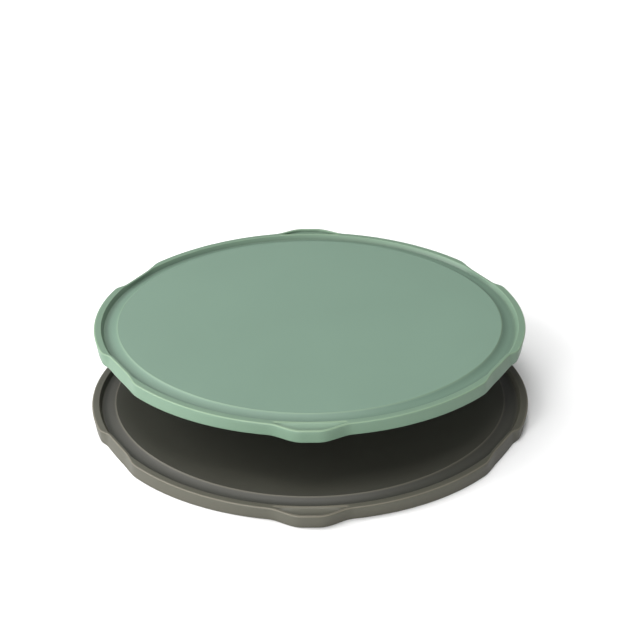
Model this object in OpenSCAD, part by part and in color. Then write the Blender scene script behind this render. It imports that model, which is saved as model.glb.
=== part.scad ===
// Two round silicone bowl lids: one lies flat, its twin is lifted off and set back.
// The origin is midway between the two lids' centres, on the surface that the lower one lies on.

/* [Rim] */
// Diameter over the round rim
ring_d = 170; // [130:1:210]
// Height from the foot of the skirt to the top of the rim
rim_h = 5.2; // [4.4:0.1:7]
// Width of the rim's top
rim_w = 2.8; // [2:0.1:4]
// Rounding of the rim's outer top edge
rim_round = 0.5; // [0.2:0.1:1]
// How far the skirt's foot sits inside the rim
draft = 0.5; // [0.2:0.1:1.2]

/* [Disc and trough] */
// Width of the trough between the rim and the raised disc
trough_w = 6.5; // [4.5:0.1:10]
// Depth of the trough below the rim's top
trough_depth = 1.7; // [0.8:0.1:2]
// Width that the trough's outer wall leans over
trough_lean = 1; // [0.2:0.1:1.5]
// Width of the trough's flat floor
trough_floor = 1.1; // [0.4:0.1:1.5]
// How far the disc lies below the rim's top
disc_drop = 0.2; // [0:0.1:0.5]

/* [Notches] */
// Angle from the side axis to the near corner of a notch's floor
notch_from = 22.3; // [16:0.1:24]
// Angle from the side axis to the far corner of a notch's floor
notch_to = 34.2; // [30:0.1:42]
// Angle that the near ramp takes
notch_near_ramp = 2; // [1:0.1:5]
// Angle that the far ramp takes
notch_far_ramp = 5.4; // [2:0.1:8]
// Depth of a notch at the rim's top
notch_depth = 2.1; // [0.8:0.1:2.6]
// Share of that depth that is left at the skirt's foot
notch_foot = 0.6; // [0:0.1:0.8]
// Least thickness of the crest between a notch and the trough
crest_w = 0.8; // [0.5:0.1:1.2]

/* [Pull tabs] */
// How far a tab stands out from the rim
tab_reach = 4.7; // [3:0.1:9]
// Width over which the tip is straight
tab_tip_w = 5.5; // [3:0.5:14]
// Width of the root, where the tab leaves the rim
tab_root_w = 31; // [20:0.5:40]
// Thickness of the lip round the pocket
lip_w = 1.4; // [1:0.1:2.5]
// Depth of the pocket behind the lip
pocket_depth = 0.8; // [0.4:0.1:1.5]
// Least width of the ridge between the pocket's straight edge and the trough
ridge_w = 0.5; // [0.4:0.1:1]

/* [Underside] */
// Thickness of the disc
disc_t = 2; // [1.5:0.1:2.5]
// Thickness of the web under the trough
web_t = 1.2; // [0.8:0.1:1.5]
// Width of the channel that takes the bowl's rim
channel_w = 3.6; // [2:0.1:4]
// Thickness of the skirt at its foot
skirt_t = 4.5; // [2.5:0.1:5]
// Width of the sealing bead
bead_w = 2.4; // [1.2:0.1:4]
// Gap from the bead's foot to the surface
bead_lift = 0.3; // [0.1:0.1:0.6]

/* [Placing] */
// How far the upper lid is lifted above the lower one
lid_lift = 23.5; // [6:0.5:60]
// How far back the upper lid is set
lid_back = 18.4; // [0:0.1:60]

/* [Hidden] */

ring_r = ring_d / 2;
foot_r = ring_r - draft;
rim_in_r = ring_r - rim_w;
disc_r = rim_in_r - trough_w;
disc_z = rim_h - disc_drop;
trough_z = rim_h - trough_depth;
trough_wall_r = rim_in_r - trough_lean;
cove_end_r = trough_wall_r - trough_floor;
cove_h = disc_z - trough_z;
cove_r = (pow(cove_end_r - disc_r, 2) + pow(cove_h, 2)) / (2 * cove_h);

notch_r = ring_r - notch_depth;
notch_foot_r = foot_r - notch_depth * notch_foot;
channel_out_r = foot_r - skirt_t;
bead_r = channel_out_r - channel_w;
bead_in_r = bead_r - bead_w;
channel_z = trough_z - web_t;
recess_z = disc_z - disc_t;

eps = 0.01;
sink = 0.05;
over = 1;
round_step = 15;
tab_steps = 10;

function polar(r, a) = [r * cos(a), r * sin(a)];
// Size of the skirt's outline at a height, against its size at the rim's top
function draft_scale(z) = (foot_r + draft * z / rim_h) / ring_r;
// The same for a notch's face
function notch_scale(z) = (notch_foot_r + (notch_r - notch_foot_r) * z / rim_h) / notch_r;
// Goes from 0 to 1 with level ends as u goes from 0 to 1
function ease(u) = (1 - cos(180 * u)) / 2;
// One side of a tab, from its root on a circle to its straight tip
function tab_side(root_r, root_w, tip_w, reach) = [
    for (i = [0:tab_steps])
        let (u = i / tab_steps, x = (root_w + (tip_w - root_w) * u) / 2)
        [x, sqrt(root_r * root_r - x * x) * (1 - ease(u)) + (root_r + reach) * ease(u)]
];
function mirrored(points) = [for (i = [len(points) - 1:-1:0]) [-points[i][0], points[i][1]]];
// A closed outline through both sides of a tab and the lid's own body
function tab_outline(root_r, root_w, tip_w, reach, inner_r) = concat(
    tab_side(root_r, root_w, tip_w, reach),
    mirrored(tab_side(root_r, root_w, tip_w, reach)),
    [for (i = [-tab_steps:tab_steps])
        let (a = 90 - asin(root_w / 2 / root_r) * i / tab_steps) polar(inner_r, a)]
);

// The solid ring section, rounded at its outer top edge and drawn in at its foot
module ring_section() {
    polygon(concat(
        [[0, 0], [foot_r, 0]],
        [for (a = [0:round_step:90])
            [ring_r - rim_round + rim_round * cos(a), rim_h - rim_round + rim_round * sin(a)]],
        [[0, rim_h]]
    ));
}

// The trough: a cove that rises to the disc's edge, a flat floor and a steep outer wall
module trough_section() {
    intersection() {
        translate([cove_end_r, trough_z + cove_r]) circle(cove_r, $fn = 180);
        translate([disc_r, trough_z]) square([cove_end_r - disc_r, trough_depth + over]);
    }
    polygon([
        [cove_end_r - eps, trough_z],
        [trough_wall_r, trough_z],
        [rim_in_r, rim_h],
        [rim_in_r, rim_h + over],
        [cove_end_r - eps, rim_h + over]
    ]);
}

// What is left open under the lid: the channel for the bowl's rim and the disc's recess
module underside_section() {
    translate([bead_r, -over]) square([channel_w, channel_z + over]);
    translate([0, -over]) square([bead_in_r, recess_z + over]);
    translate([bead_in_r - eps, -over]) square([bead_w + 2 * eps, bead_lift + over]);
}

// Extrudes an outline drawn at the rim's top from one height to another, leaning as the skirt does
module drafted(low, high) {
    translate([0, 0, low])
        linear_extrude(height = high - low, scale = draft_scale(high) / draft_scale(low))
            scale(draft_scale(low)) children();
}

// What a notch takes off the rim and skirt
module notch_cut() {
    low = -over;
    high = rim_h + over;
    translate([0, 0, low])
        linear_extrude(height = high - low, scale = notch_scale(high) / notch_scale(low))
            scale(notch_scale(low))
                polygon([
                    polar(ring_r + eps, notch_from - notch_near_ramp),
                    polar(notch_r, notch_from),
                    polar(notch_r, notch_to),
                    polar(ring_r + eps, notch_to + notch_far_ramp),
                    polar(ring_r + 2 * over, notch_to + notch_far_ramp),
                    polar(ring_r + 2 * over, notch_from - notch_near_ramp)
                ]);
}

// Keeps the crest beside a notch at its full thickness, out into the trough
module notch_crest() {
    inner = notch_r - crest_w;
    translate([0, 0, trough_z - eps])
        linear_extrude(height = trough_depth + eps)
            polygon([
                polar(rim_in_r + eps, notch_from - notch_near_ramp),
                polar(inner, notch_from),
                polar(inner, notch_to),
                polar(rim_in_r + eps, notch_to + notch_far_ramp),
                polar(notch_r + eps, notch_to + notch_far_ramp / 2),
                polar(notch_r + eps, notch_from - notch_near_ramp / 2)
            ]);
}

module four_notches() {
    for (side = [0, 1], end = [0, 1])
        mirror([side, 0, 0]) mirror([0, end, 0]) children();
}

module two_tabs() {
    for (turn = [0, 180]) rotate(turn) children();
}

// A pull tab with its crescent pocket
module tab() {
    difference() {
        drafted(0, rim_h)
            polygon(tab_outline(ring_r - sink, tab_root_w, tab_tip_w, tab_reach + sink, rim_in_r));
        pocket();
    }
}

module pocket() {
    translate([0, 0, rim_h - pocket_depth])
        linear_extrude(height = pocket_depth + over)
            intersection() {
                polygon(tab_outline(ring_r - lip_w, tab_root_w, tab_tip_w, tab_reach, rim_in_r));
                translate([-tab_root_w / 2, rim_in_r + ridge_w])
                    square([tab_root_w, rim_w + tab_reach]);
            }
}

// One whole lid, standing on its skirt at the origin
module lid() {
    difference() {
        union() {
            difference() {
                rotate_extrude($fn = 360) ring_section();
                rotate_extrude($fn = 360) trough_section();
                translate([0, 0, disc_z]) cylinder(r = disc_r + eps, h = over, $fn = 360);
            }
            two_tabs() tab();
            four_notches() notch_crest();
        }
        rotate_extrude($fn = 360) underside_section();
        two_tabs() pocket();
        four_notches() notch_cut();
    }
}

module lower_lid() {
    color("#5d5b50") translate([0, -lid_back / 2, 0]) lid();
}

module upper_lid() {
    color("#86a493") translate([0, lid_back / 2, lid_lift]) lid();
}

lower_lid();
upper_lid();
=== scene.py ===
import bmesh
import bpy
from math import asin, atan2, cos, degrees, hypot, pi, radians, sin, sqrt, tan
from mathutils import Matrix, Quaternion, Vector
from mathutils.kdtree import KDTree


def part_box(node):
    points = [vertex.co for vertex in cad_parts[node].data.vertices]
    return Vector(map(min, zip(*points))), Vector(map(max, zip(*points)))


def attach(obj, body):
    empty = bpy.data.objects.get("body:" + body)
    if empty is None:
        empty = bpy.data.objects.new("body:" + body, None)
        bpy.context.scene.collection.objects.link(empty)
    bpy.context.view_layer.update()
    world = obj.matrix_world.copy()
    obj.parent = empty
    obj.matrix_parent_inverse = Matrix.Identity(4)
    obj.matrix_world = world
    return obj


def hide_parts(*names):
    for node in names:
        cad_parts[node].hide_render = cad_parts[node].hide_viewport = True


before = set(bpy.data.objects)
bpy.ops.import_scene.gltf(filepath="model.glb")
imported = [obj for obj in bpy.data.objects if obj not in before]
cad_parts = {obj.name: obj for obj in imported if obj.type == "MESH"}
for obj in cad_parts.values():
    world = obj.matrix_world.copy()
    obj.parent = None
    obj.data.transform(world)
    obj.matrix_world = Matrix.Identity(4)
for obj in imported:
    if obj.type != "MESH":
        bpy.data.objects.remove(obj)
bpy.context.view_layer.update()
mm = 0.001


def clearSelection():
    if bpy.context.mode != "OBJECT":
        bpy.ops.object.mode_set(mode="OBJECT")
    bpy.ops.object.select_all(action="DESELECT")


def makeActive(piece):
    clearSelection()
    piece.select_set(True)
    bpy.context.view_layer.objects.active = piece


def lidSeat(node):
    # middle of a lid on the plane that its skirt stands on, and its radius over the rim
    low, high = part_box(node)
    return Vector(((low.x + high.x) / 2, (low.y + high.y) / 2, low.z)), (high.x - low.x) / 2


# the lid's moulding, in millimetres and in degrees from the side axis
moulding = {
    "rimTop": 5.2,
    "rimRound": 0.5,
    "rimFlat": 2.8,         # from the trough's edge to the outside of the rim
    "flatClear": 0.16,      # from the trough's edge to the rows of the rim's flat top
    "draft": 0.5,           # how far the skirt leans in at its foot
    "skirtRings": (0.4, 0.62, 0.84),    # shares of the way down the skirt
    "footRound": 0.25,
    "wallLean": 1.0,
    "wallFootRound": 0.3,
    "innerEdgeRound": 0.25,
    "troughDepth": 1.7,
    "troughFloor": 1.1,
    "troughWidth": 6.5,
    "coveFrom": 0.92,       # share of the cove's arc that is left below the disc's rounded edge
    "discDrop": 0.2,
    "discEdgeRound": 0.4,
    "discEdgeClear": 0.6,   # from the disc's last ring to its edge
    "discRings": (0, 25, 50, 68),
    "notchFrom": 22.3,
    "notchTo": 34.2,
    "nearRamp": 2.0,
    "farRamp": 5.4,
    "notchDepth": 2.1,
    "notchFoot": 0.6,       # share of the depth that is left at the skirt's foot
    "notchSoftness": 0.6,   # degrees between the places that are averaged to ease a corner
    "crestWidth": 1.2,      # what is left of the rim beside a notch
    "notchClear": (0.17, 0.02),     # from the trough's edge to the flat rows there, and past them
    "lobes": 0.0055,        # share by which the round is wider at the tabs and sides, less between
    "tabReach": 4.65,       # beyond the plain round
    "tabTip": 5.5,
    "tabRoot": 31.0,
    "lip": 1.4,
    "lipClear": 0.05,       # from the lip's last row to its rounded crest
    "lipFall": (0.13, 0.03),    # how far the lip's first rows sink, to round its inner edge
    "leastLip": 0.1,
    "pocketDepth": 1.0,     # at the lip, sloping down from the ridge
    "pocketFall": (0.10, 0.40, 0.64, 0.82, 0.94, 1.0),  # share of it at each row
    "pocketSide": 0.06,     # width of the slopes between ridge, pocket and lip
    "leastPocket": 0.12,
    "fullOpening": 0.5,     # a pocket narrower than this is shallower
    "ridge": 0.5,           # least width, beside the pocket's straight edge
    "ridgeClear": 0.2,      # from the trough's edge to the ridge's first row
    "channelOut": 80.0,     # radii below: the channel, the sealing bead's outside and its inside
    "beadOut": 76.4,
    "beadIn": 74.0,
    "channelTop": 2.3,      # heights below: the channel's roof, the bead's foot, the recess's roof
    "beadFoot": 0.3,
    "recessTop": 3.0,
    "channelMouthRound": 0.15,
    "beadRound": 0.3,
    "recessRound": 0.5,
    "recessRings": (60, 30, 0),
    "columns": 240,         # steps in a quarter turn
}

crestRows = 7       # rows of the rim zone that round its crest
coveRows = 10
flatRows = 15       # rows of the rim's flat top, shared out between its zones
flatZones = {"ridge": (0, 5), "pocket": (5, 11), "lip": (11, 15)}
seamGap = 0.0005 * mm       # vertices nearer than this are one


def bend(corner, before, after, radius, steps):
    # points round a corner of the section, between the directions before and after, in degrees
    a, b = radians(before), radians(after)
    turn = b - a
    reach = abs(radius * tan(turn / 2))
    start = (corner[0] - reach * cos(a), corner[1] - reach * sin(a))
    side = 1 if turn > 0 else -1
    middle = (start[0] - side * radius * sin(a), start[1] + side * radius * cos(a))
    points = []
    for i in range(steps + 1):
        t = a + turn * i / steps
        points.append((middle[0] + side * radius * sin(t), middle[1] - side * radius * cos(t)))
    return points


def undersideSection(m):
    # under the lid, from the skirt's foot in to the middle
    bead = m["beadRound"]
    points = bend((m["channelOut"], 0), 180, 90, m["channelMouthRound"], 2)
    points += bend((m["channelOut"], m["channelTop"]), 90, 180, bead, 3)
    points += bend((m["beadOut"], m["channelTop"]), 180, 270, bead, 3)
    points += bend((m["beadOut"], m["beadFoot"]), 270, 180, bead, 3)
    points += bend((m["beadIn"], m["beadFoot"]), 180, 90, bead, 3)
    points += bend((m["beadIn"], m["recessTop"]), 90, 180, m["recessRound"], 4)
    return points + [(r, m["recessTop"]) for r in m["recessRings"]]


def lidSection(m, ringR):
    # the section of a plain stretch of the lid as zones of (radius, height) points, from the
    # disc's middle out over the rim, down the skirt and back under to the middle
    top = m["rimTop"]
    rimIn = ringR - m["rimFlat"]
    disc = rimIn - m["troughWidth"]
    discTop = top - m["discDrop"]
    floor = top - m["troughDepth"]
    wallFoot = rimIn - m["wallLean"]
    coveEnd = wallFoot - m["troughFloor"]
    rise = discTop - floor
    coveR = ((coveEnd - disc) ** 2 + rise ** 2) / (2 * rise)
    coveAngle = degrees(asin((coveEnd - disc) / coveR))
    cove = []
    for row in range(1, coveRows + 1):
        t = radians(coveAngle * m["coveFrom"] * (1 - row / coveRows))
        cove.append((coveEnd - coveR * sin(t), floor + coveR * (1 - cos(t))))
    wallAngle = degrees(atan2(m["troughDepth"], m["wallLean"]))
    discFlat = [(r, discTop) for r in (*m["discRings"], disc - m["discEdgeClear"])]
    sections = {
        "disc": discFlat + bend((disc, discTop), 0, -coveAngle, m["discEdgeRound"], 4),
        "cove": cove,
        "wallFoot": bend((wallFoot, floor), 0, wallAngle, m["wallFootRound"], 3),
        "wall": bend((rimIn, top), wallAngle, 0, m["innerEdgeRound"], 4),
    }
    flatFrom = rimIn + m["flatClear"]
    stride = (ringR - m["rimRound"] - flatFrom) / flatRows
    for zone, (first, last) in flatZones.items():
        sections[zone] = [(flatFrom + stride * (row + 0.5), top) for row in range(first, last)]
    skirt = [(ringR - m["draft"] * down, top * (1 - down)) for down in m["skirtRings"]]
    skirtAngle = degrees(atan2(top, m["draft"])) - 180
    foot = bend((ringR - m["draft"], 0), skirtAngle, -180, m["footRound"], 3)
    sections["rim"] = bend((ringR, top), 0, -90, m["rimRound"], crestRows - 1) + skirt + foot
    sections["under"] = undersideSection(m)
    return sections


def notchLine(m, ringR, angle):
    # radius of the rim's outside, drawn in at a notch
    floorR = ringR - m["notchDepth"]
    corners = [
        (ringR, m["notchFrom"] - m["nearRamp"]),
        (floorR, m["notchFrom"]),
        (floorR, m["notchTo"]),
        (ringR, m["notchTo"] + m["farRamp"]),
    ]
    for (r0, a0), (r1, a1) in zip(corners, corners[1:]):
        if a0 <= angle <= a1:
            x0, y0 = r0 * cos(radians(a0)), r0 * sin(radians(a0))
            x1, y1 = r1 * cos(radians(a1)), r1 * sin(radians(a1))
            rayX, rayY = cos(radians(angle)), sin(radians(angle))
            before, after = x0 * rayY - y0 * rayX, x1 * rayY - y1 * rayX
            t = before / (before - after)
            return hypot(x0 + t * (x1 - x0), y0 + t * (y1 - y0))
    return ringR


def easedNotch(m, ringR, angle):
    # the notch's line with its corners softened
    weights = (1, 2, 3, 2, 1)
    total = 0
    for i, weight in enumerate(weights):
        total += weight * notchLine(m, ringR, angle + m["notchSoftness"] * (i - 2))
    return total / sum(weights)


def tabLine(m, ringR, offAxis):
    # radius of a tab's outside at an angle from its middle line
    root, tip, tipR = m["tabRoot"] / 2, m["tabTip"] / 2, ringR + m["tabReach"]
    if offAxis > degrees(asin(root / ringR)):
        return ringR
    x = tipR * tan(radians(offAxis))
    # the outline is given across the tab, so the place on this ray is closed in on
    for attempt in range(20):
        u = min(1, max(0, (root - x) / (root - tip)))
        ease = (1 - cos(pi * u)) / 2
        y = sqrt(ringR ** 2 - min(x, root) ** 2) * (1 - ease) + tipR * ease
        x = y * tan(radians(offAxis))
    return hypot(x, y)


def spinQuarter(sections, columns):
    # one vertex drawn along the section, then spun a quarter turn
    outline = [point for zone in sections.values() for point in zone]
    first = outline[0]
    bpy.ops.mesh.primitive_plane_add(size=mm, location=(0, 0, 0))
    quarter = bpy.context.object
    bpy.ops.object.mode_set(mode="EDIT")
    bpy.ops.mesh.select_mode(type="VERT")
    bpy.ops.mesh.merge(type="CENTER")
    bpy.ops.transform.translate(value=(first[0] * mm, 0, first[1] * mm))
    for before, after in zip(outline, outline[1:]):
        stride = ((after[0] - before[0]) * mm, 0, (after[1] - before[1]) * mm)
        bpy.ops.mesh.extrude_region_move(TRANSFORM_OT_translate={"value": stride})
    bpy.ops.mesh.select_all(action="SELECT")
    # spin turns clockwise for a positive angle, and the quarter is to run from +X to +Y
    bpy.ops.mesh.spin(steps=columns, angle=-pi / 2, center=(0, 0, 0), axis=(0, 0, 1))
    bpy.ops.mesh.select_all(action="SELECT")
    bpy.ops.mesh.remove_doubles(threshold=seamGap)
    bpy.ops.mesh.select_all(action="DESELECT")
    return quarter


def sortColumns(quarter, sections, columns):
    # which vertices belong to each column and zone, found by their place
    rows = [(zone, r, z) for zone, points in sections.items() for r, z in points]
    finder = KDTree(len(rows))
    for order, (zone, r, z) in enumerate(rows):
        finder.insert((r, z, 0), order)
    finder.balance()
    made = bmesh.from_edit_mesh(quarter.data)
    made.verts.ensure_lookup_table()
    made.verts.index_update()
    places = {}
    for v in made.verts:
        r, z = hypot(v.co.x, v.co.y) / mm, v.co.z / mm
        order = finder.find((r, z, 0))[1]
        column = round(degrees(atan2(abs(v.co.y), v.co.x)) / 90 * columns)
        places.setdefault((column, rows[order][0]), []).append((order, v.index))
    return {key: [index for order, index in sorted(found)] for key, found in places.items()}


def oneRow(row):
    return slice(row, row + 1)


class ColumnHand:
    # moves the vertices of one column, zone by zone
    def __init__(self, quarter, places, columns):
        self.quarter = quarter
        self.places = places
        self.columns = columns
        self.held = []

    def take(self, column, zones, part):
        made = bmesh.from_edit_mesh(self.quarter.data)
        made.verts.ensure_lookup_table()
        for index in self.held:
            made.verts[index].select_set(False)
        self.held = []
        for zone in zones:
            self.held += self.places.get((column, zone), [])[part]
        for index in self.held:
            made.verts[index].select_set(True)
        turn = radians(90 * column / self.columns)
        return Vector((cos(turn), sin(turn), 0))

    def widen(self, column, zones, factor, part=slice(None), fromR=0):
        # stretches along the column's own ray, from a radius that stays
        ray = self.take(column, zones, part)
        if self.held and abs(factor - 1) > 1e-7:
            bpy.ops.transform.resize(value=(factor, factor, 1), center_override=ray * fromR * mm)

    def move(self, column, zones, outwards, upwards, part=slice(None)):
        ray = self.take(column, zones, part)
        if self.held and (abs(outwards) > 1e-6 or abs(upwards) > 1e-6):
            bpy.ops.transform.translate(value=ray * outwards * mm + Vector((0, 0, upwards * mm)))

    def fit(self, column, zone, points, now):
        # moves a zone of the plain section so that it spans now[0] to now[1]
        was = (points[0][0], points[-1][0])
        factor = (now[1] - now[0]) / (was[1] - was[0])
        if abs(factor - 1) < 1e-6:
            self.move(column, [zone], now[0] - was[0], 0)
            return
        fixed = (now[0] - factor * was[0]) / (1 - factor)
        self.widen(column, [zone], factor, fromR=fixed)


def skirtRows(sections):
    # rows of the rim below its rounded crest, each with its height as a share of the crest's
    crestFoot = sections["rim"][crestRows - 1][1]
    below = list(enumerate(sections["rim"]))[crestRows:]
    return [(row, point[1] / crestFoot) for row, point in below]


def cutNotches(hand, m, ringR, sections):
    rimIn = ringR - m["rimFlat"]
    crest = slice(0, crestRows)
    for column in range(m["columns"] + 1):
        outside = easedNotch(m, ringR, column * 90 / m["columns"])
        if outside > ringR - 0.001:
            continue
        factor = outside / ringR
        inward = min(0, outside - m["crestWidth"] - rimIn)
        hand.widen(column, ["rim"], factor, crest)
        for row, height in skirtRows(sections):
            share = m["notchFoot"] + (1 - m["notchFoot"]) * height
            hand.widen(column, ["rim"], 1 + (factor - 1) * share, oneRow(row))
        hand.move(column, ["wall"], inward, 0)
        flatFrom = rimIn + inward + m["notchClear"][0]
        flatTo = (ringR - m["rimRound"]) * factor - m["notchClear"][1]
        stride = (flatTo - flatFrom) / (flatRows - 1)
        for zone, (first, last) in flatZones.items():
            now = (flatFrom + stride * first, flatFrom + stride * (last - 1))
            hand.fit(column, zone, sections[zone], now)
    print("notches cut")


def raiseTabs(hand, m, ringR, sections):
    # gives back how far the pocket is open at each column of a tab
    rimIn = ringR - m["rimFlat"]
    side = m["pocketSide"]
    # the lobes are drawn later and push the tab out, so it starts that much shorter
    reachShare = 1 - m["lobes"] * ringR / m["tabReach"]
    opening = {}
    for column in range(m["columns"] + 1):
        off = 90 - column * 90 / m["columns"]
        outside = ringR + (tabLine(m, ringR, off) - ringR) * reachShare
        if outside < ringR + 0.002:
            continue
        factor = outside / ringR
        hand.widen(column, ["rim"], factor)
        lipIn = outside - m["lip"]
        lipOut = (ringR - m["rimRound"]) * factor - m["lipClear"]
        ridgeEnd = (rimIn + m["ridge"]) / cos(radians(off))
        share = min(1, max(0, lipIn - ridgeEnd) / m["fullOpening"])
        pocketFrom = ridgeEnd + side
        pocketTo = max(pocketFrom + m["leastPocket"], lipIn - side)
        lipFrom = pocketTo + side
        hand.fit(column, "ridge", sections["ridge"], (rimIn + m["ridgeClear"], ridgeEnd))
        hand.fit(column, "pocket", sections["pocket"], (pocketFrom, pocketTo))
        hand.fit(column, "lip", sections["lip"], (lipFrom, max(lipFrom + m["leastLip"], lipOut)))
        for row, fall in enumerate(m["pocketFall"]):
            hand.move(column, ["pocket"], 0, -m["pocketDepth"] * share * fall, oneRow(row))
        for row, fall in enumerate(m["lipFall"]):
            hand.move(column, ["lip"], 0, -fall * share, oneRow(row))
        opening[column] = share
    print("tabs raised")
    return opening


def drawLobes(hand, m, sections):
    # the skirt's foot stays round
    upper = [zone for zone in sections if zone not in ("rim", "under")]
    for column in range(m["columns"] + 1):
        factor = 1 + m["lobes"] * cos(radians(4 * 90 * column / m["columns"]))
        hand.widen(column, upper, factor)
        hand.widen(column, ["rim"], factor, slice(0, crestRows))
        for row, height in skirtRows(sections):
            hand.widen(column, ["rim"], 1 + (factor - 1) * height, oneRow(row))
    print("lobes drawn")


def markRows(quarter, places, opening, name, plain, atTab):
    # keeps a share on the vertices of some rows, atTab being added as a tab's pocket opens
    marks = quarter.data.attributes.new(name, "FLOAT", "POINT")
    for (column, zone), found in places.items():
        for row, index in enumerate(found):
            share = plain.get(zone, {}).get(row, 0)
            marks.data[index].value = share + atTab.get(zone, {}).get(row, 0) * opening.get(column, 0)


def markCrestHighlights(quarter, places, opening):
    # painted highlight: the pale line along the rim, the disc's edge, the ridge and the lip
    plain = {
        "disc": {5: 0.15, 6: 0.45, 7: 0.7, 8: 0.5, 9: 0.2},
        "wall": {1: 0.3, 2: 0.6, 3: 0.5, 4: 0.3},
        "rim": {0: 0.5, 1: 0.9, 2: 1.0, 3: 0.8, 4: 0.4},
    }
    atTab = {
        "ridge": {1: 0.5, 2: 0.9, 3: 1.0, 4: 0.9},
        "pocket": {0: 0.4},
        "lip": {0: 0.2, 1: 0.6, 2: 0.6, 3: 0.6},
    }
    markRows(quarter, places, opening, "paintedCrestHighlight", plain, atTab)


def markPaintedShade(quarter, places, opening):
    # painted shade: darker at the foot of the trough's wall, on the rim's flat top and in the pocket
    # behind the lip
    plain = {
        "cove": {7: 0.2, 8: 0.4, 9: 0.6},
        "wallFoot": {0: 0.8, 1: 1.0, 2: 1.0, 3: 0.9},
        "wall": {0: 0.3, 3: 0.1, 4: 0.2},
        "ridge": dict.fromkeys(range(5), 0.3),
        "pocket": dict.fromkeys(range(6), 0.3),
        "lip": {0: 0.3, 1: 0.3, 2: 0.2, 3: 0.1},
    }
    atTab = {
        "ridge": dict.fromkeys(range(5), -0.3),
        "pocket": {0: -0.3, 1: -0.3, 2: -0.1, 3: 0.15, 4: 0.45, 5: 0.7},
        "lip": {0: -0.3, 1: -0.3, 2: -0.2, 3: -0.1},
    }
    markRows(quarter, places, opening, "paintedShade", plain, atTab)


def mouldLid(ringR):
    m = moulding
    sections = lidSection(m, ringR)
    clearSelection()
    quarter = spinQuarter(sections, m["columns"])
    places = sortColumns(quarter, sections, m["columns"])
    hand = ColumnHand(quarter, places, m["columns"])
    cutNotches(hand, m, ringR, sections)
    opening = raiseTabs(hand, m, ringR, sections)
    drawLobes(hand, m, sections)
    bpy.ops.object.mode_set(mode="OBJECT")
    markCrestHighlights(quarter, places, opening)
    markPaintedShade(quarter, places, opening)
    halves = quarter.modifiers.new("halves", "MIRROR")
    halves.use_axis = (True, True, False)
    halves.merge_threshold = 0.002 * mm
    bpy.ops.object.modifier_apply(modifier="halves")
    bpy.ops.object.mode_set(mode="EDIT")
    bpy.ops.mesh.select_all(action="SELECT")
    bpy.ops.mesh.remove_doubles(threshold=seamGap)
    bpy.ops.mesh.normals_make_consistent(inside=False)
    bpy.ops.object.mode_set(mode="OBJECT")
    bpy.ops.object.shade_smooth_by_angle(angle=radians(50))
    return quarter


def copyLid(lid):
    makeActive(lid)
    bpy.ops.object.duplicate(linked=False)
    return bpy.context.object


class Wire:
    # a socket that takes part in sums, each of which adds a Math node
    def __init__(self, bench, socket):
        self.bench = bench
        self.socket = socket

    def maths(self, operation, first, second):
        return self.bench.add("ShaderNodeMath", {"operation": operation}, {0: first, 1: second})

    def __add__(self, other):
        return self.maths("ADD", self, other)

    def __radd__(self, other):
        return self.maths("ADD", other, self)

    def __sub__(self, other):
        return self.maths("SUBTRACT", self, other)

    def __rsub__(self, other):
        return self.maths("SUBTRACT", other, self)

    def __mul__(self, other):
        return self.maths("MULTIPLY", self, other)

    def __rmul__(self, other):
        return self.maths("MULTIPLY", other, self)


class Bench:
    # a node tree and the one way in which nodes are added to it
    def __init__(self, tree):
        self.tree = tree

    def add(self, kind, settings=None, values=None, out=0):
        node = self.tree.nodes.new(kind)
        for setting, value in (settings or {}).items():
            setattr(node, setting, value)
        for socket, value in (values or {}).items():
            self.feed(node, socket, value)
        return Wire(self, node.outputs[out])

    def feed(self, node, socket, value):
        if isinstance(value, Wire):
            self.tree.links.new(value.socket, node.inputs[socket])
        else:
            node.inputs[socket].default_value = value


class Finish(Bench):
    # a material, and the nodes that its silicone needs more than once
    def __init__(self, name):
        self.material = bpy.data.materials.new(name)
        self.material.use_nodes = True
        super().__init__(self.material.node_tree)

    def set(self, sockets):
        for socket, value in sockets.items():
            self.feed(self.tree.nodes["Principled BSDF"], socket, value)

    def mark(self, name):
        return self.add("ShaderNodeAttribute", {"attribute_name": name}, out=2)

    def blend(self, share, first, second):
        return self.add("ShaderNodeMix", {"data_type": "RGBA"}, {0: share, 6: first, 7: second}, 2)

    def band(self, value, lowest, highest):
        # rises smoothly from 0 to 1
        return self.add("ShaderNodeMapRange", {"interpolation_type": "SMOOTHSTEP"},
                        {0: value, 1: lowest, 2: highest})

    def noise(self, place, scale, detail, roughness):
        return self.add("ShaderNodeTexNoise", {"noise_dimensions": "3D"},
                        {"Vector": place, "Scale": scale, "Detail": detail, "Roughness": roughness})


# the disc, trough and rim tones carry painted shade: the grey disc is darker for the shade under the
# upper lid, and the sage trough is darker for the shade in the trough; the rim tone covers the trough's
# outer wall, the rim and the skirt
silicones = {
    "grey_silicone": {
        "disc": (0.0345, 0.0337, 0.0260, 1),
        "trough": (0.0365, 0.0360, 0.0290, 1),
        "rim": (0.0715, 0.0695, 0.0525, 1),
        # the pale tone of the painted crest highlight
        "crest": (0.130, 0.119, 0.091, 1),
    },
    "sage_silicone": {
        "disc": (0.127, 0.200, 0.151, 1),
        "trough": (0.109, 0.176, 0.131, 1),
        "rim": (0.132, 0.209, 0.147, 1),
        # the pale tone of the painted crest highlight
        "crest": (0.185, 0.265, 0.175, 1),
    },
}

# what both silicones have alike
skin = {
    "clouds": (28.0, 4.0, 0.6),     # scale, detail and roughness of each noise
    "grain": (2600.0, 3.0, 0.65),
    "pores": (900.0, 2.0, 0.5),
    "rimEdge": (1.0, 0.5),          # millimetres either side over which the rim's tone comes in
    "troughEdge": (0.3, 0.8),       # the same for the trough's
    "crestHighlightStrength": 0.9,
    "brightness": 0.95,
    "cloudTone": 0.10,
    "paintedShadeDepth": 0.33,
    "roughness": 0.50,
    "cloudRoughness": 0.10,
    "grainRoughness": 0.08,
    "grainRelief": 0.6,
    "poreRelief": 0.4,
    "bumpStrength": 0.17,
    "bumpDepth": 0.05,              # millimetres
    "refraction": 1.42,
}


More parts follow.
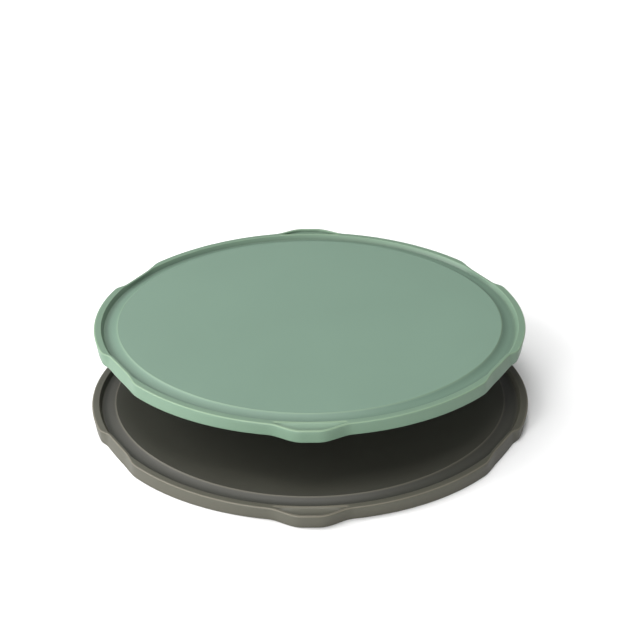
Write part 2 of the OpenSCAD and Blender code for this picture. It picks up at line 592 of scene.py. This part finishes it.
def siliconeFinish(slotName, seat, ringR):
    tones = silicones[slotName]
    finish = Finish(slotName)
    coordinates = finish.add("ShaderNodeTexCoord", out=3)
    centred = finish.add("ShaderNodeMapping", {"vector_type": "POINT"},
                         {"Vector": coordinates, "Location": tuple(-seat)})
    flattened = finish.add("ShaderNodeVectorMath", {"operation": "MULTIPLY"}, {0: centred, 1: (1, 1, 0)})
    radius = finish.add("ShaderNodeVectorMath", {"operation": "LENGTH"}, {0: flattened}, 1)
    clouds = finish.noise(centred, *skin["clouds"])
    grain = finish.noise(centred, *skin["grain"])
    pores = finish.noise(centred, *skin["pores"])

    rimFrom = ringR - (moulding["rimFlat"] + moulding["wallLean"]) * mm
    before, after = skin["rimEdge"]
    onRim = finish.band(radius, rimFrom - before * mm, rimFrom + after * mm)
    troughFrom = rimFrom - (moulding["troughWidth"] - moulding["wallLean"]) * mm
    before, after = skin["troughEdge"]
    inTrough = finish.band(radius, troughFrom - before * mm, troughFrom + after * mm)

    # painted shade: the disc, trough and rim tones are blended by radius
    tone = finish.blend(onRim, finish.blend(inTrough, tones["disc"], tones["trough"]), tones["rim"])
    # painted highlight: the crest marks blend in the pale crest tone
    tone = finish.blend(finish.mark("paintedCrestHighlight") * skin["crestHighlightStrength"], tone, tones["crest"])
    # painted shade: the shade marks darken the tone
    shade = skin["brightness"] + skin["cloudTone"] * clouds - skin["paintedShadeDepth"] * finish.mark("paintedShade")
    tone = finish.add("ShaderNodeVectorMath", {"operation": "SCALE"}, {0: tone, "Scale": shade})
    rough = skin["roughness"] + skin["cloudRoughness"] * (clouds - 0.5)
    rough = rough + skin["grainRoughness"] * (grain - 0.5)
    bump = finish.add("ShaderNodeBump", {}, {
        "Strength": skin["bumpStrength"],
        "Distance": skin["bumpDepth"] * mm,
        "Height": grain * skin["grainRelief"] + pores * skin["poreRelief"],
    })
    finish.set({"Base Color": tone, "Roughness": rough, "Normal": bump, "IOR": skin["refraction"]})
    return finish.material


placing = {
    "lower_lid": {"name": "greyLid", "body": "lower", "slot": "grey_silicone"},
    "upper_lid": {"name": "sageLid", "body": "upper", "slot": "sage_silicone"},
}


def placeLid(lid, node):
    place = placing[node]
    seat, ringR = lidSeat(node)
    lid.name = place["name"]
    lid.data.name = place["name"]
    makeActive(lid)
    bpy.ops.transform.translate(value=seat)
    bpy.ops.object.transform_apply(location=True, rotation=True, scale=True)
    lid.data.materials.append(siliconeFinish(place["slot"], seat, ringR))
    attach(lid, place["body"])
    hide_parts(node)
    print(place["name"], "in place,", len(lid.data.polygons), "faces")


print("moulding the lid")
greyLid = mouldLid(lidSeat("lower_lid")[1] / mm)
sageLid = copyLid(greyLid)
placeLid(greyLid, "lower_lid")
placeLid(sageLid, "upper_lid")


studio = {
    "floorRadius": 0.62,
    "floorTone": (0.86, 0.86, 0.86, 1),
    "floorRoughness": 0.9,
    "skyLight": 0.24,
    "reach": 1.5,           # from the lids to each lamp
    # soft lamps: degrees to the left of the front, degrees up, width and watts
    "lamps": {
        "frontStrip": (30, 14, 0.4, 18.5),
        "frontBox": (20, 32, 0.9, 4.0),
        "leftBox": (95, 29, 0.9, 18.0),
        "leftHighBox": (95, 55, 0.9, 5.6),
        "topBox": (0, 88, 0.9, 12.0),
        "backBox": (150, 48, 0.9, 5.0),
    },
}


def layFloor():
    clearSelection()
    bpy.ops.mesh.primitive_circle_add(vertices=128, radius=studio["floorRadius"], fill_type="NGON")
    floor = bpy.context.object
    floor.name = "studioFloor"
    finish = Finish("pale_floor")
    finish.set({
        "Base Color": studio["floorTone"],
        "Roughness": studio["floorRoughness"],
        "Specular IOR Level": 0.0,
    })
    floor.data.materials.append(finish.material)


def lightSky():
    # the backdrop shows white, and lights the lids only a little
    world = bpy.data.worlds.new("studioLight")
    bpy.context.scene.world = world
    world.use_nodes = True
    sky = Bench(world.node_tree)
    backdrop = world.node_tree.nodes["Background"]
    seen = sky.add("ShaderNodeLightPath")
    sky.feed(backdrop, "Color", (1, 1, 1, 1))
    sky.feed(backdrop, "Strength", studio["skyLight"] + (1 - studio["skyLight"]) * seen)


def hangLamps():
    for name, (around, up, width, watts) in studio["lamps"].items():
        a, e = radians(around), radians(up)
        place = Vector((-sin(a) * cos(e), -cos(a) * cos(e), sin(e))) * studio["reach"]
        clearSelection()
        bpy.ops.object.light_add(type="AREA", location=place)
        lamp = bpy.context.object
        lamp.name = name
        lamp.data.shape = "DISK"
        lamp.data.size = width
        lamp.data.energy = watts
        lamp.rotation_euler = (-place).to_track_quat("-Z", "Y").to_euler()


view = {
    "place": (0.0002, -0.6020, 0.3321),
    "lookAt": (0.0002, 0.01642, 0.0287),
    "lens": 99.6,
    "sensor": 36,
    "roll": -0.33,          # degrees about the line of sight
    "reach": (0.05, 50),    # nearest and farthest that it sees
}


def setCamera():
    clearSelection()
    bpy.ops.object.camera_add(location=view["place"])
    camera = bpy.context.object
    camera.name = "studioCamera"
    camera.data.lens = view["lens"]
    camera.data.sensor_width = view["sensor"]
    camera.data.clip_start, camera.data.clip_end = view["reach"]
    sight = Vector(view["lookAt"]) - Vector(view["place"])
    roll = Quaternion(Vector((0, 0, 1)), radians(view["roll"]))
    camera.rotation_mode = "QUATERNION"
    camera.rotation_quaternion = sight.to_track_quat("-Z", "Y") @ roll
    bpy.context.scene.camera = camera


layFloor()
lightSky()
hangLamps()
setCamera()
bpy.context.scene.view_settings.view_transform = "Standard"
print("floor, light and camera set")

clearSelection()
